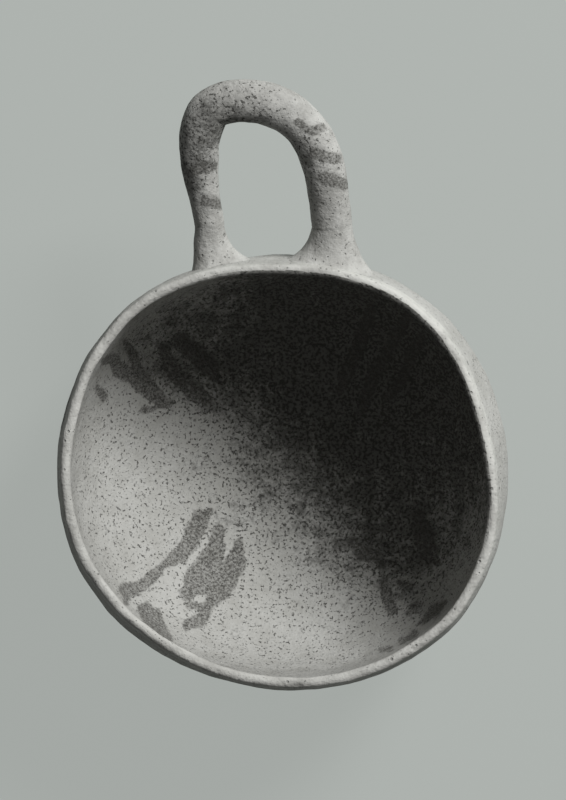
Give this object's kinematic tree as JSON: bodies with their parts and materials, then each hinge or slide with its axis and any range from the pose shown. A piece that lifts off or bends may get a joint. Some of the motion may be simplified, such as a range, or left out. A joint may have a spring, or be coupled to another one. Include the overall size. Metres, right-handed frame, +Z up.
{
  "type": "one-handled bowl",
  "caption": "Deep hand-built pottery bowl with a rounded body, a slightly drawn-in lip, a flattened base and a rolled loop handle set just below the rim.",
  "frame": {"origin": "centre of the flattened base, in the plane that the bowl rests on", "axes": "+Z up out of the mouth, +Y from the bowl towards the handle, +X to the right when one looks down into the mouth with the handle away from the viewer"},
  "size_m": [0.1541, 0.2052, 0.0945],
  "materials": {
    "body_clay": "matt pale fired clay, pitted and speckled, with worn dark painted ornament",
    "lip_clay": "matt pale fired clay, smoothed by hand, worn along the edge",
    "handle_clay": "matt pale fired clay, mottled, with worn dark painted bars",
    "luting_clay": "matt pale fired clay, smeared by finger"
  },
  "bodies": {
    "root": {"bowl_body": "body_clay", "rim_coil": "lip_clay", "handle": "handle_clay", "root_collar_left": "luting_clay", "root_collar_right": "luting_clay"}
  },
  "joints": []
}
